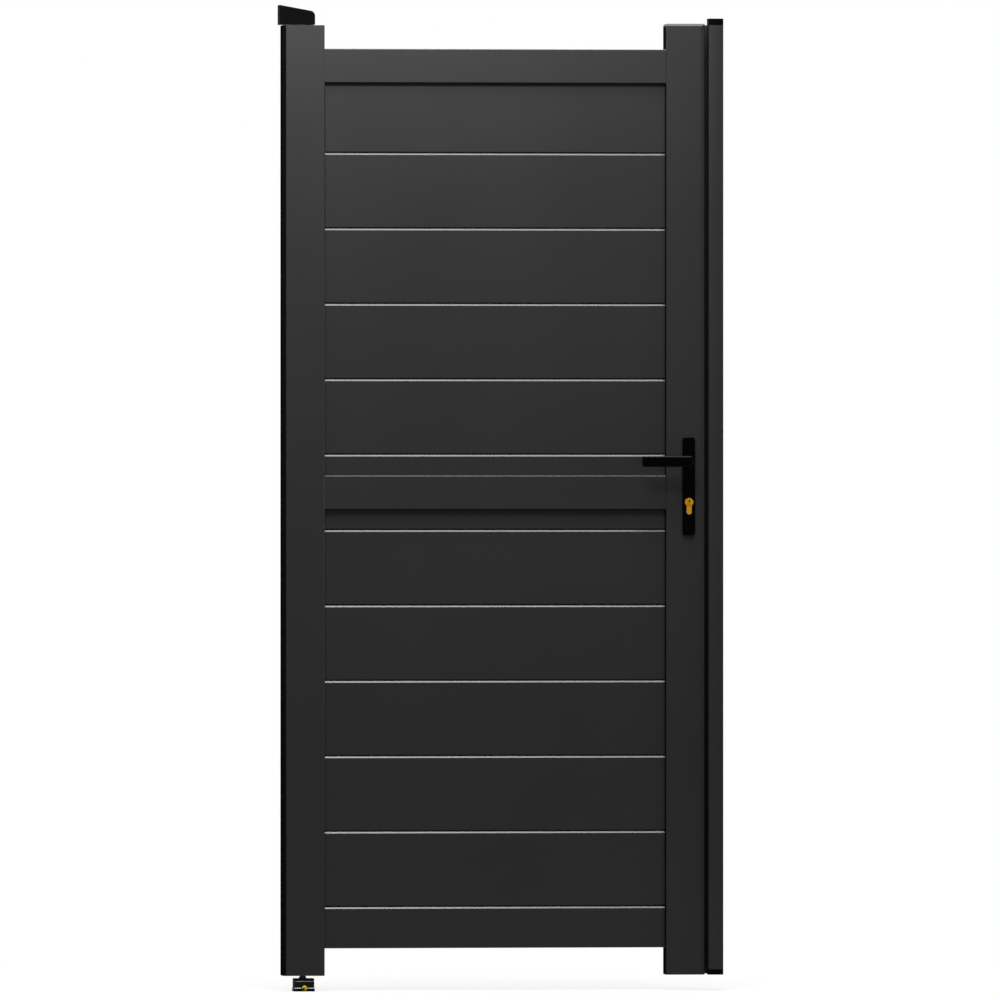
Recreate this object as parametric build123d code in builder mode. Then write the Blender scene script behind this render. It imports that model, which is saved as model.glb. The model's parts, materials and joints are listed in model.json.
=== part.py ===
"""Pedestrian gate: a solid-board aluminium leaf on a floor pivot, with its wall strike.

X runs from the hinge side to the strike side, Y runs from the front to the back, Z is up.
The origin is the hinge axis on the underside of the floor pivot. All sizes are in millimetres.
"""

import os

from build123d import *

# Leaf frame
ground_gap = 31.0
leaf_height = 1890.0
clear_width = 684.0
frame_depth = 50.0
hinge_stile_width = 83.0
lock_stile_width = 78.0
hinge_axis_inset = 41.5
stile_wall = 3.0
stile_edge_radius = 1.5
lock_edge_radius = 8.0
swing_chamfer = 6.5

# Rails
rail_depth = 46.0
rail_wall = 3.0
rail_edge_radius = 1.5
top_rail_height = 67.5
top_rail_drop = 46.5
mid_rail_height = 67.0
bottom_rail_height = 81.8

# Boards
board_thickness = 20.0
board_pitch = 150.0
board_count = 11
upper_board_count = 5
board_wall = 2.0
groove_bevel_height = 3.25
shaded_bevel_depth = 3.25
lit_bevel_depth = 2.0
tongue_width = 6.0
tongue_height = 8.0
tongue_clearance = 0.2
rail_seat = 10.0
rail_seat_gap = 0.4
stile_seat = 11.0
seat_end_gap = 1.0
seat_side_gap = 0.2

# Stile ends
cap_thickness = 5.0
cap_bevel = 4.5
cap_end_bevel = 3.5
cap_spigot = 14.0
spigot_clearance = 0.2
pivot_block_length = 45.0

# Pivots
pin_radius = 6.0
pin_clearance = 0.05
pin_engagement = 26.0
pin_end_gap = 0.3
pin_head_radius = 11.0
pin_head_height = 5.0
pin_collar_radius = 8.3
pin_collar_height = 4.0

# Upper hinge bracket
wall_offset = 47.6
bracket_reach = 23.0
bracket_gap = 1.2
bracket_depth = 46.0
bracket_wall_height = 39.1
bracket_end_height = 26.1
bracket_nose_radius = 11.0
cover_wall = 2.5
cover_clearance = 0.3
cover_edge_radius = 1.5
flange_thickness = 8.0
arm_thickness = 8.0
bracket_bolt_radius = 4.25
bracket_bolt_spacing = 22.0
washer_radius = 20.0
washer_clearance = 0.2

# Floor pivot
pivot_width = 39.8
pivot_depth = 42.0
pivot_shift = 1.7
pivot_height = 25.5
pivot_base_height = 5.5
slide_plate_height = 2.0
slide_bevel = 1.2
slide_overhang = 0.8
pivot_corner_radius = 2.0
pivot_lid_height = 5.0
pivot_lid_setback = 1.2
pivot_body_bevel = 1.0
screw_head_radius = 5.5
screw_head_height = 4.0
screw_shank_radius = 3.0
screw_shank_length = 11.0
screw_clearance = 0.1
screw_head_bevel = 2.6
screw_arch_radius = 7.0
screw_arch_depth = 3.0

# Strike on the far wall
strike_gap = 5.5
strike_width = 29.4
strike_depth = 30.0
strike_proud = 15.0
strike_wall = 2.5
strike_edge_radius = 1.5
strike_bow_radius = 180.0
strike_crown = 10.0
strike_foot_gap = 42.0
strike_top_rise = 2.0
strike_cap_height = 13.0
strike_foot_height = 10.8
backplate_thickness = 4.0
backplate_bolt_radius = 4.25
backplate_bolt_count = 4
backplate_end_inset = 106.5
stop_bar_thickness = 5.0
stop_bar_overlap = 15.0
stop_top_rise = 3.5
stop_foot_gap = 31.5
seal_width = 10.0
seal_thickness = 5.5
seal_nose_radius = 3.3
seal_gap = 0.5

# Lock and handles
handle_inset = 33.5
lever_height = 1053.5
plate_width = 25.0
plate_length = 195.0
plate_above_lever = 48.5
plate_thickness = 8.0
plate_corner_radius = 6.5
plate_edge = 0.5
lever_bar_height = 21.5
lever_bar_thickness = 12.0
lever_length = 98.0
lever_stand_off = 48.0
lever_bevel = 6.5
lever_tip_radius = 5.0
lever_bend_radius = 8.0
lever_edge = 2.0
lever_gap = 0.5
spindle_side = 8.0
spindle_socket = 16.0
spindle_hole_radius = 6.3
socket_clearance = 0.1
cylinder_drop = 81.0
cylinder_radius = 8.5
cylinder_height = 33.0
cylinder_tail_width = 10.0
cylinder_proud = 6.0
cylinder_clearance = 0.3
plug_radius = 6.4
plug_proud = 0.6
keyway_width = 1.6
keyway_height = 9.0
keyway_depth = 5.0
forend_width = 22.0
forend_length = 240.0
forend_thickness = 2.5
forend_above_lever = 60.0
lock_case_thickness = 16.0
lock_case_depth = 56.0
lock_case_length = 170.0
lock_case_above_lever = 30.0
bolt_length = 24.0
latch_bevel = 9.0
latch_height = 18.0
latch_width = 12.0
dead_bolt_height = 24.0
dead_bolt_drop = 62.0
bolt_clearance = 0.25

# Places worked out from the sizes above
leaf_bottom = ground_gap
leaf_top = ground_gap + leaf_height
hinge_outer = -hinge_axis_inset
hinge_inner = hinge_stile_width - hinge_axis_inset
lock_inner = hinge_inner + clear_width
lock_outer = lock_inner + lock_stile_width
stile_slot_depth = stile_seat + seat_end_gap
slot_width = board_thickness + 2 * seat_side_gap
top_rail_top = leaf_top - top_rail_drop
top_rail_bottom = top_rail_top - top_rail_height
first_joint = top_rail_bottom + rail_seat - board_pitch
bottom_rail_top = first_joint - (board_count - 1) * board_pitch
split_middle = first_joint + board_pitch / 2 - upper_board_count * board_pitch
mid_rail_top = split_middle + mid_rail_height / 2
mid_rail_bottom = split_middle - mid_rail_height / 2
bottom_rail_bottom = bottom_rail_top - bottom_rail_height
board_top = top_rail_bottom + rail_seat
board_left = hinge_inner - stile_seat
board_length = clear_width + 2 * stile_seat
handle_x = lock_outer - handle_inset
cylinder_z = lever_height - cylinder_drop
front_face = -frame_depth / 2
back_face = frame_depth / 2

os.makedirs("parts", exist_ok=True)


def save(piece, name):
    """Label one finished piece and write it to a file of its own."""
    piece.part.label = name
    export_step(piece.part, f"parts/{name}.step")


def block(x_range, y_range, z_range, mode=Mode.ADD):
    """Box between two corners, given as low and high values along each axis."""
    with Locations((x_range[0], y_range[0], z_range[0])):
        Box(
            x_range[1] - x_range[0],
            y_range[1] - y_range[0],
            z_range[1] - z_range[0],
            align=(Align.MIN, Align.MIN, Align.MIN),
            mode=mode,
        )


def area(low, high, mode=Mode.ADD):
    """Rectangle between two corners of the current sketch."""
    with Locations(((low[0] + high[0]) / 2, (low[1] + high[1]) / 2)):
        Rectangle(high[0] - low[0], high[1] - low[1], mode=mode)


def euro_outline(margin, mode=Mode.ADD):
    """Keyhole outline of the lock cylinder, about its barrel's centre."""
    tail_end = cylinder_radius - cylinder_height
    Circle(cylinder_radius + margin, mode=mode)
    half = cylinder_tail_width / 2 + margin
    area((-half, tail_end + half - margin), (half, 0), mode=mode)
    with Locations((0, tail_end + half - margin)):
        Circle(half, mode=mode)


# Stiles


def hinge_chamber(inset, mode=Mode.ADD):
    """Hollow of the hinge stile, or a plug that is smaller by inset, with the swing corner cut."""
    left = hinge_outer + stile_wall + inset
    right = hinge_inner - stile_slot_depth - stile_wall - inset
    half = frame_depth / 2 - stile_wall - inset
    cut = swing_chamfer - (stile_wall + inset) * (2 - 2**0.5)
    Polygon(
        (left + cut, -half), (right, -half), (right, half), (left, half), (left, cut - half),
        align=None, mode=mode,
    )


def lock_outline(height):
    """Outer section of the lock stile at a height, with its edges beside the strike well rounded."""
    with BuildSketch(Plane.XY.offset(height)) as section:
        area((lock_inner, front_face), (lock_outer, back_face))
        fillet(section.vertices().group_by(Axis.X)[-1], lock_edge_radius)
        fillet(section.vertices().group_by(Axis.X)[0], stile_edge_radius)
    return section.sketch


def lock_chamber(inset, mode=Mode.ADD):
    """Hollow of the lock stile, or a plug that is smaller by inset, cut behind the round edges."""
    half = frame_depth / 2 - stile_wall - inset
    left = lock_inner + stile_slot_depth + stile_wall + inset
    right = lock_outer - stile_wall - inset
    cut = (lock_edge_radius - stile_wall - inset) * (2 - 2**0.5)
    Polygon(
        (left, -half), (right - cut, -half), (right, cut - half),
        (right, half - cut), (right - cut, half), (left, half),
        align=None, mode=mode,
    )


def board_slot(inner_x, side):
    """Slot for the board ends in a stile, between the bottom rail and the top rail's seat."""
    x_low, x_high = sorted((inner_x, inner_x - side * stile_slot_depth))
    block(
        (x_low, x_high),
        (-slot_width / 2, slot_width / 2),
        (bottom_rail_bottom - seat_side_gap, board_top + seat_side_gap),
        Mode.SUBTRACT,
    )


with BuildPart() as hinge_stile:
    with BuildSketch(Plane.XY.offset(leaf_bottom)) as hinge_section:
        area((hinge_outer, front_face), (hinge_inner, back_face))
        swing_corner = hinge_section.vertices().group_by(Axis.X)[0].sort_by(Axis.Y)[0]
        chamfer(swing_corner, swing_chamfer)
        fillet(hinge_section.vertices().group_by(Axis.X)[-1], stile_edge_radius)
        hinge_chamber(0, Mode.SUBTRACT)
    extrude(amount=leaf_height)
    board_slot(hinge_inner, 1)
save(hinge_stile, "hinge_stile")

forend_top = lever_height + forend_above_lever
case_top = lever_height + lock_case_above_lever
with BuildPart() as lock_stile:
    extrude(lock_outline(leaf_bottom), amount=leaf_height)
    with BuildSketch(Plane.XY.offset(leaf_bottom)):
        lock_chamber(0)
    extrude(amount=leaf_height, mode=Mode.SUBTRACT)
    board_slot(lock_inner, -1)
    # Openings for the spindle and the cylinder, right through both walls
    with BuildSketch(Plane.XZ.offset(-back_face)):
        with Locations((handle_x, lever_height)):
            Circle(spindle_hole_radius)
        with Locations((handle_x, cylinder_z)):
            euro_outline(cylinder_clearance)
    extrude(amount=frame_depth, mode=Mode.SUBTRACT)
    # Pocket for the lock's face plate, with the way in for its case
    block(
        (lock_outer - forend_thickness, lock_outer),
        (-forend_width / 2 - bolt_clearance, forend_width / 2 + bolt_clearance),
        (forend_top - forend_length - bolt_clearance, forend_top + bolt_clearance),
        Mode.SUBTRACT,
    )
    block(
        (lock_outer - stile_wall, lock_outer),
        (-lock_case_thickness / 2 - bolt_clearance, lock_case_thickness / 2 + bolt_clearance),
        (case_top - lock_case_length - bolt_clearance, case_top + bolt_clearance),
        Mode.SUBTRACT,
    )
save(lock_stile, "lock_stile")

with BuildPart() as lock_stile_cap:
    extrude(lock_outline(leaf_top), amount=cap_thickness)
    # Bevelled to the front and the back by crossing with its section
    with BuildSketch(Plane.YZ.offset(lock_inner)) as cap_section:
        area((front_face, leaf_top), (back_face, leaf_top + cap_thickness))
        chamfer(cap_section.vertices().group_by(Axis.Y)[-1], cap_bevel)
    extrude(amount=lock_stile_width, mode=Mode.INTERSECT)
    inner_edge = lock_stile_cap.faces().sort_by(Axis.Z)[-1].edges().sort_by(Axis.X)[0]
    chamfer(inner_edge, cap_end_bevel)
    with BuildSketch(Plane.XY.offset(leaf_top)):
        lock_chamber(spigot_clearance)
    extrude(amount=-cap_spigot)
save(lock_stile_cap, "lock_stile_cap")

with BuildPart() as lock_stile_foot:
    with BuildSketch(Plane.XY.offset(leaf_bottom)):
        lock_chamber(spigot_clearance)
    extrude(amount=cap_spigot)
save(lock_stile_foot, "lock_stile_foot")

# Pivot blocks that close the hinge stile's ends and turn on the pins

bore_depth = pin_engagement + pin_end_gap
for block_name, end_z, inward in (("upper", leaf_top, -1), ("lower", leaf_bottom, 1)):
    with BuildPart() as pivot_block:
        with BuildSketch(Plane.XY.offset(end_z)):
            hinge_chamber(spigot_clearance)
        extrude(amount=inward * pivot_block_length)
        with BuildSketch(Plane.XY.offset(end_z)):
            Circle(pin_radius + pin_clearance)
        extrude(amount=inward * bore_depth, mode=Mode.SUBTRACT)
    save(pivot_block, f"{block_name}_pivot_block")

# Rails


def hollow_rail(bottom, top, bottom_seat, top_seat):
    """Section of a rail, with a slot for the boards below it, above it or both."""
    with BuildSketch(Plane.YZ.offset(hinge_inner)) as section:
        area((-rail_depth / 2, bottom), (rail_depth / 2, top))
        fillet(section.vertices(), rail_edge_radius)
        low_wall = bottom + rail_wall
        high_wall = top - rail_wall
        slot_depth = rail_seat + rail_seat_gap
        if bottom_seat:
            area((-slot_width / 2, bottom), (slot_width / 2, bottom + slot_depth), Mode.SUBTRACT)
            low_wall = low_wall + slot_depth
        if top_seat:
            area((-slot_width / 2, top - slot_depth), (slot_width / 2, top), Mode.SUBTRACT)
            high_wall = high_wall - slot_depth
        half = rail_depth / 2 - rail_wall
        area((-half, low_wall), (half, high_wall), Mode.SUBTRACT)
    extrude(section.sketch, amount=clear_width)


with BuildPart() as top_rail:
    hollow_rail(top_rail_bottom, top_rail_top, True, False)
save(top_rail, "top_rail")

with BuildPart() as mid_rail:
    hollow_rail(mid_rail_bottom, mid_rail_top, True, True)
save(mid_rail, "mid_rail")

# Boards, tongued and grooved, with bevels on both faces that make the V between two of them


def board_bevel(edge_z, inward, depth):
    """Cut the front and back corners along one edge of a board."""
    half = board_thickness / 2
    for side in (-1, 1):
        Polygon(
            (side * half, edge_z),
            (side * (half - depth), edge_z),
            (side * half, edge_z + inward * groove_bevel_height),
            align=None,
            mode=Mode.SUBTRACT,
        )


def board(bottom, top, bottom_joint, top_joint):
    """One hollow board between two heights, plain where it sits in a rail."""
    half = board_thickness / 2
    slot_half = tongue_width / 2 + tongue_clearance
    slot_top = bottom + tongue_height + tongue_clearance
    with BuildSketch(Plane.YZ.offset(board_left)) as section:
        area((-half, bottom), (half, top))
        low_wall = bottom + board_wall
        high_wall = top - board_wall
        if bottom_joint:
            board_bevel(bottom, 1, shaded_bevel_depth)
            area((-slot_half, bottom), (slot_half, slot_top), Mode.SUBTRACT)
            low_wall = slot_top + board_wall
        if top_joint:
            board_bevel(top, -1, lit_bevel_depth)
            area((-tongue_width / 2, top), (tongue_width / 2, top + tongue_height))
            high_wall = high_wall - groove_bevel_height
        web = (low_wall + high_wall) / 2
        chamber_half = half - board_wall
        area((-chamber_half, low_wall), (chamber_half, web - board_wall / 2), Mode.SUBTRACT)
        area((-chamber_half, web + board_wall / 2), (chamber_half, high_wall), Mode.SUBTRACT)
    extrude(section.sketch, amount=board_length)


for number in range(1, board_count + 1):
    joint_below = first_joint - (number - 1) * board_pitch
    joint_above = joint_below + board_pitch
    if number == upper_board_count + 1:
        with BuildPart() as upper_half:
            board(mid_rail_top - rail_seat, joint_above, False, True)
        save(upper_half, f"board_{number:02d}_upper")
        with BuildPart() as lower_half:
            board(joint_below, mid_rail_bottom + rail_seat, True, False)
        save(lower_half, f"board_{number:02d}_lower")
    else:
        with BuildPart() as whole_board:
            board(joint_below, joint_above, True, number > 1)
        save(whole_board, f"board_{number:02d}")

with BuildPart() as bottom_rail:
    board(bottom_rail_bottom, bottom_rail_top, False, True)
save(bottom_rail, "bottom_rail")

# Upper hinge bracket on the wall

bracket_bottom = leaf_top + bracket_gap
bracket_slope = (bracket_wall_height - bracket_end_height) / (wall_offset + bracket_reach)
inner_half = bracket_depth / 2 - cover_wall - cover_clearance
arm_end = bracket_reach - cover_wall - cover_clearance
arm_top = bracket_bottom + arm_thickness
flange_top = (
    bracket_bottom + bracket_wall_height - bracket_slope * flange_thickness
    - cover_wall * (1 + bracket_slope**2) ** 0.5 - cover_clearance
)

with BuildPart() as hinge_bracket_cover:
    with BuildSketch(Plane.XZ) as cover_outline:
        Polygon(
            (-wall_offset, bracket_bottom),
            (bracket_reach, bracket_bottom),
            (bracket_reach, bracket_bottom + bracket_end_height),
            (-wall_offset, bracket_bottom + bracket_wall_height),
            align=None,
        )
        nose = cover_outline.vertices().group_by(Axis.X)[-1].sort_by(Axis.Y)[-1]
        fillet(nose, bracket_nose_radius)
    extrude(amount=bracket_depth / 2, both=True)
    wall_face = hinge_bracket_cover.faces().sort_by(Axis.X)[0]
    under_face = hinge_bracket_cover.faces().sort_by(Axis.Z)[0]
    offset(amount=-cover_wall, openings=[wall_face, under_face])
    for side in (0, -1):
        cheek = hinge_bracket_cover.faces().sort_by(Axis.Y)[side]
        under_edge = cheek.edges().sort_by(Axis.Z)[0]
        wall_edge = cheek.edges().sort_by(Axis.X)[0]
        fillet(cheek.edges() - [under_edge, wall_edge], cover_edge_radius)
save(hinge_bracket_cover, "hinge_bracket_cover")

with BuildPart() as hinge_bracket:
    block((-wall_offset, arm_end), (-inner_half, inner_half), (bracket_bottom, arm_top))
    block(
        (-wall_offset, flange_thickness - wall_offset),
        (-inner_half, inner_half),
        (arm_top, flange_top),
    )
    with BuildSketch(Plane.XY.offset(bracket_bottom)):
        Circle(pin_radius + pin_clearance)
    extrude(amount=arm_thickness, mode=Mode.SUBTRACT)
    with BuildSketch(Plane.YZ.offset(-wall_offset)):
        with Locations((0, (arm_top + flange_top) / 2)):
            with GridLocations(bracket_bolt_spacing, 0, 2, 1):
                Circle(bracket_bolt_radius)
    extrude(amount=flange_thickness, mode=Mode.SUBTRACT)
save(hinge_bracket, "hinge_bracket")

with BuildPart() as upper_pin:
    with BuildSketch(Plane.XY.offset(arm_top)):
        Circle(pin_head_radius)
    extrude(amount=pin_head_height)
    with BuildSketch(Plane.XY.offset(arm_top)):
        Circle(pin_radius)
    extrude(amount=leaf_top - pin_engagement - arm_top)
save(upper_pin, "upper_pin")

with BuildPart() as upper_washer:
    with BuildSketch(Plane.XY.offset(bracket_bottom)):
        Circle(washer_radius)
        Circle(pin_radius + pin_clearance, mode=Mode.SUBTRACT)
    extrude(amount=washer_clearance - bracket_gap)
save(upper_washer, "upper_washer")

# Floor pivot

slide_top = pivot_base_height + slide_plate_height
screw_z = pivot_base_height + slide_plate_height / 2
lid_bottom = pivot_height - pivot_lid_height
pivot_front = pivot_depth / 2 + slide_overhang
pivot_rows = (
    ("floor_pivot_base", 0.0, pivot_base_height, slide_overhang, 0.0),
    ("floor_pivot_slide", pivot_base_height, slide_top, slide_overhang, slide_bevel),
    ("floor_pivot_body", slide_top, lid_bottom, 0.0, pivot_body_bevel),
)


def pivot_outline(height, width, depth):
    """Outline of the floor pivot at a height, a little off the pin towards the leaf."""
    with BuildSketch(Plane.XY.offset(height)) as outline:
        with Locations((pivot_shift, 0)):
            RectangleRounded(width, depth, pivot_corner_radius)
    return outline.sketch


for pivot_name, low_z, high_z, overhang, top_bevel in pivot_rows:
    with BuildPart() as pivot_piece:
        outline = pivot_outline(low_z, pivot_width + 2 * overhang, pivot_depth + 2 * overhang)
        extrude(outline, amount=high_z - low_z)
        if top_bevel > 0:
            top_edges = pivot_piece.faces().sort_by(Axis.Z)[-1].edges().filter_by(Axis.X)
            chamfer(top_edges, top_bevel)
        if pivot_name == "floor_pivot_body":
            # The lid, set back from the front and the back, and the bore for the pin
            lid = pivot_outline(lid_bottom, pivot_width, pivot_depth - 2 * pivot_lid_setback)
            extrude(lid, amount=pivot_lid_height)
            with BuildSketch(Plane.XY.offset(slide_top)):
                Circle(pin_radius + pin_clearance)
            extrude(amount=pivot_height - slide_top, mode=Mode.SUBTRACT)
        with BuildSketch(Plane.XZ.offset(pivot_front)):
            with Locations((pivot_shift, screw_z)):
                Circle(screw_shank_radius + screw_clearance)
        extrude(amount=-screw_shank_length - screw_clearance, mode=Mode.SUBTRACT)
        if pivot_name != "floor_pivot_base":
            with BuildSketch(Plane.XZ.offset(pivot_front)):
                with Locations((pivot_shift, screw_z)):
                    Circle(screw_arch_radius)
            extrude(amount=-screw_arch_depth, mode=Mode.SUBTRACT)
    save(pivot_piece, pivot_name)

with BuildPart() as lower_pin:
    with BuildSketch(Plane.XY.offset(slide_top)):
        Circle(pin_radius)
    extrude(amount=leaf_bottom + pin_engagement - slide_top)
    with Locations((0, 0, pivot_height)):
        Cone(
            pin_collar_radius,
            pin_radius,
            pin_collar_height,
            align=(Align.CENTER, Align.CENTER, Align.MIN),
        )
save(lower_pin, "lower_pin")

with BuildPart() as adjusting_screw:
    with BuildSketch(Plane.XZ.offset(pivot_front)):
        with Locations((pivot_shift, screw_z)):
            Circle(screw_head_radius)
    extrude(amount=screw_head_height)
    chamfer(adjusting_screw.edges().group_by(Axis.Y)[0], screw_head_bevel)
    with BuildSketch(Plane.XZ.offset(pivot_front)):
        with Locations((pivot_shift, screw_z)):
            Circle(screw_shank_radius)
    extrude(amount=-screw_shank_length)
save(adjusting_screw, "adjusting_screw")

# Strike on the far wall, with the stop behind the leaf

strike_left = lock_outer + strike_gap
strike_right = strike_left + strike_width
strike_front = front_face - strike_proud
strike_back = strike_front + strike_depth
strike_top = leaf_top + strike_top_rise
stop_front = back_face + seal_gap + seal_thickness
stop_top = leaf_top + stop_top_rise


def strike_outline():
    """Outer section of the strike's front profile, with its front slightly bowed."""
    area((strike_left, strike_front), (strike_right, strike_back))
    with Locations((strike_left + strike_crown, strike_front + strike_bow_radius)):
        Circle(strike_bow_radius, mode=Mode.INTERSECT)


def strike_hollow(inset, mode=Mode.ADD):
    """Hollow of the front profile, or a plug that is smaller by inset."""
    inner = strike_wall + inset
    low = (strike_left + inner, strike_front + inner)
    high = (strike_right - inner, strike_back - inner)
    area(low, high, mode)


with BuildPart() as strike_profile:
    with BuildSketch(Plane.XY.offset(strike_foot_gap)) as strike_section:
        strike_outline()
        fillet(strike_section.vertices().group_by(Axis.Y)[0], strike_edge_radius)
        strike_hollow(0, Mode.SUBTRACT)
    extrude(amount=strike_top - strike_foot_gap)
save(strike_profile, "strike_profile")

strike_ends = (
    ("strike_top_cap", strike_top, strike_cap_height, -cap_spigot),
    ("strike_bottom_cap", strike_foot_gap, -strike_foot_height, cap_spigot),
)
for cap_name, cap_z, cap_rise, spigot_rise in strike_ends:
    with BuildPart() as strike_cap:
        with BuildSketch(Plane.XY.offset(cap_z)) as end_outline:
            strike_outline()
            fillet(end_outline.vertices().group_by(Axis.Y)[0], strike_edge_radius)
        extrude(amount=cap_rise)
        with BuildSketch(Plane.XY.offset(cap_z)):
            strike_hollow(spigot_clearance)
        extrude(amount=spigot_rise)
    save(strike_cap, cap_name)

with BuildPart() as strike_backplate:
    block(
        (strike_right - backplate_thickness, strike_right),
        (strike_back, stop_front),
        (stop_foot_gap, stop_top),
    )
    bolt_row = stop_top - stop_foot_gap - 2 * backplate_end_inset
    with BuildSketch(Plane.YZ.offset(strike_right - backplate_thickness)):
        with Locations(((strike_back + stop_front) / 2, (stop_foot_gap + stop_top) / 2)):
            with GridLocations(0, bolt_row / (backplate_bolt_count - 1), 1, backplate_bolt_count):
                Circle(backplate_bolt_radius)
    extrude(amount=backplate_thickness, mode=Mode.SUBTRACT)
save(strike_backplate, "strike_backplate")

stop_left = lock_outer - stop_bar_overlap
with BuildPart() as stop_bar:
    block(
        (stop_left, strike_right),
        (stop_front, stop_front + stop_bar_thickness),
        (stop_foot_gap, stop_top),
    )
save(stop_bar, "stop_bar")

seal_left = stop_left + (stop_bar_overlap - seal_width) / 2
with BuildPart() as stop_seal:
    with BuildSketch(Plane.XY.offset(stop_foot_gap)) as seal_section:
        area((seal_left, stop_front - seal_thickness), (seal_left + seal_width, stop_front))
        fillet(seal_section.vertices().group_by(Axis.Y)[0], seal_nose_radius)
    extrude(amount=stop_top - stop_foot_gap)
save(stop_seal, "stop_seal")

# Lock

bolt_rows = (
    ("latch_bolt", lever_height, latch_height),
    ("dead_bolt", lever_height - dead_bolt_drop, dead_bolt_height),
)
with BuildPart() as lock_case:
    block(
        (lock_outer - forend_thickness - lock_case_depth, lock_outer - forend_thickness),
        (-lock_case_thickness / 2, lock_case_thickness / 2),
        (case_top - lock_case_length, case_top),
    )
    block(
        (lock_outer - forend_thickness, lock_outer),
        (-forend_width / 2, forend_width / 2),
        (forend_top - forend_length, forend_top),
    )
    for bolt_name, bolt_z, bolt_height in bolt_rows:
        block(
            (lock_outer - bolt_length, lock_outer),
            (-latch_width / 2 - bolt_clearance, latch_width / 2 + bolt_clearance),
            (bolt_z - bolt_height / 2 - bolt_clearance, bolt_z + bolt_height / 2 + bolt_clearance),
            Mode.SUBTRACT,
        )
    with BuildSketch(Plane.XZ.offset(-lock_case_thickness / 2)):
        with Locations((handle_x, lever_height)):
            Circle(spindle_hole_radius)
        with Locations((handle_x, cylinder_z)):
            euro_outline(cylinder_clearance)
    extrude(amount=lock_case_thickness, mode=Mode.SUBTRACT)
save(lock_case, "lock_case")

for bolt_name, bolt_z, bolt_height in bolt_rows:
    with BuildPart() as lock_bolt:
        block(
            (lock_outer - bolt_length, lock_outer),
            (-latch_width / 2, latch_width / 2),
            (bolt_z - bolt_height / 2, bolt_z + bolt_height / 2),
        )
        if bolt_name == "latch_bolt":
            nose_edge = lock_bolt.edges().filter_by(Axis.Z).group_by(Axis.X)[-1].sort_by(Axis.Y)[-1]
            chamfer(nose_edge, latch_bevel)
    save(lock_bolt, bolt_name)

plate_face = frame_depth / 2 + plate_thickness
cylinder_reach = plate_face + cylinder_proud
with BuildPart() as lock_cylinder:
    with BuildSketch(Plane.XZ):
        with Locations((handle_x, cylinder_z)):
            euro_outline(0)
    extrude(amount=cylinder_reach, both=True)
    with BuildSketch(Plane.XZ):
        with Locations((handle_x, cylinder_z)):
            Circle(plug_radius)
    extrude(amount=cylinder_reach + plug_proud, both=True)
    for end_face in (-1, 1):
        plug_face = end_face * (cylinder_reach + plug_proud)
        low_y, high_y = sorted((plug_face, plug_face - end_face * keyway_depth))
        block(
            (handle_x - keyway_width / 2, handle_x + keyway_width / 2),
            (low_y, high_y),
            (cylinder_z - keyway_height / 2, cylinder_z + keyway_height / 2),
            Mode.SUBTRACT,
        )
save(lock_cylinder, "lock_cylinder")

# Handle plates and levers

plate_middle = lever_height + plate_above_lever - plate_length / 2
with BuildPart() as handle_plate_front:
    with BuildSketch(Plane.XZ.offset(frame_depth / 2)):
        with Locations((handle_x, plate_middle)):
            RectangleRounded(plate_width, plate_length, plate_corner_radius)
    extrude(amount=plate_thickness)
    chamfer(handle_plate_front.faces().sort_by(Axis.Y)[0].edges(), plate_edge)
    with BuildSketch(Plane.XZ.offset(frame_depth / 2)):
        with Locations((handle_x, lever_height)):
            Circle(spindle_hole_radius)
        with Locations((handle_x, cylinder_z)):
            euro_outline(cylinder_clearance)
    extrude(amount=plate_thickness, mode=Mode.SUBTRACT)
save(handle_plate_front, "handle_plate_front")

with BuildPart() as handle_plate_back:
    mirror(handle_plate_front.part, about=Plane.XZ)
save(handle_plate_back, "handle_plate_back")

neck_start = -plate_face - lever_gap
lever_front = -plate_face - lever_stand_off
neck_left = handle_x - lever_bar_thickness / 2
neck_right = handle_x + lever_bar_thickness / 2
lever_tip = handle_x - lever_length
bar_bottom = lever_height - lever_bar_height / 2
bar_top = lever_height + lever_bar_height / 2
with BuildPart() as lever_shape:
    # Seen from the front: round at the tip and the bend, with a bevel all round
    with BuildSketch(Plane.XZ.offset(-neck_start)) as lever_face:
        area((lever_tip, bar_bottom), (neck_right, bar_top))
        fillet(lever_face.vertices().group_by(Axis.X)[0], lever_tip_radius)
        fillet(lever_face.vertices().group_by(Axis.X)[-1], lever_bend_radius)
    extrude(amount=neck_start - lever_front - lever_edge)
    extrude(lever_shape.faces().sort_by(Axis.Y)[0], amount=lever_edge, taper=45)

with BuildPart() as lever_front_piece:
    with BuildSketch(Plane.XY.offset(bar_bottom)) as lever_outline:
        Polygon(
            (neck_left, neck_start),
            (neck_left, lever_front + lever_bar_thickness),
            (lever_tip, lever_front + lever_bar_thickness),
            (lever_tip, lever_front),
            (neck_right, lever_front),
            (neck_right, neck_start),
            align=None,
        )
        bend = lever_outline.vertices().group_by(Axis.X)[-1].sort_by(Axis.Y)[0]
        chamfer(bend, lever_bevel)
    extrude(amount=lever_bar_height)
    add(lever_shape.part, mode=Mode.INTERSECT)
    with BuildSketch(Plane.XZ.offset(-neck_start)):
        with Locations((handle_x, lever_height)):
            Rectangle(spindle_side + 2 * socket_clearance, spindle_side + 2 * socket_clearance)
    extrude(amount=spindle_socket, mode=Mode.SUBTRACT)
save(lever_front_piece, "lever_front")

with BuildPart() as lever_back_piece:
    mirror(lever_front_piece.part, about=Plane.XZ)
save(lever_back_piece, "lever_back")

with BuildPart() as lever_spindle:
    with BuildSketch(Plane.XZ):
        with Locations((handle_x, lever_height)):
            Rectangle(spindle_side, spindle_side)
    extrude(amount=spindle_socket - neck_start - socket_clearance, both=True)
save(lever_spindle, "lever_spindle")
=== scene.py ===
"""Looks of the pedestrian gate: finishes, small fittings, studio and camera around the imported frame."""

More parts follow.
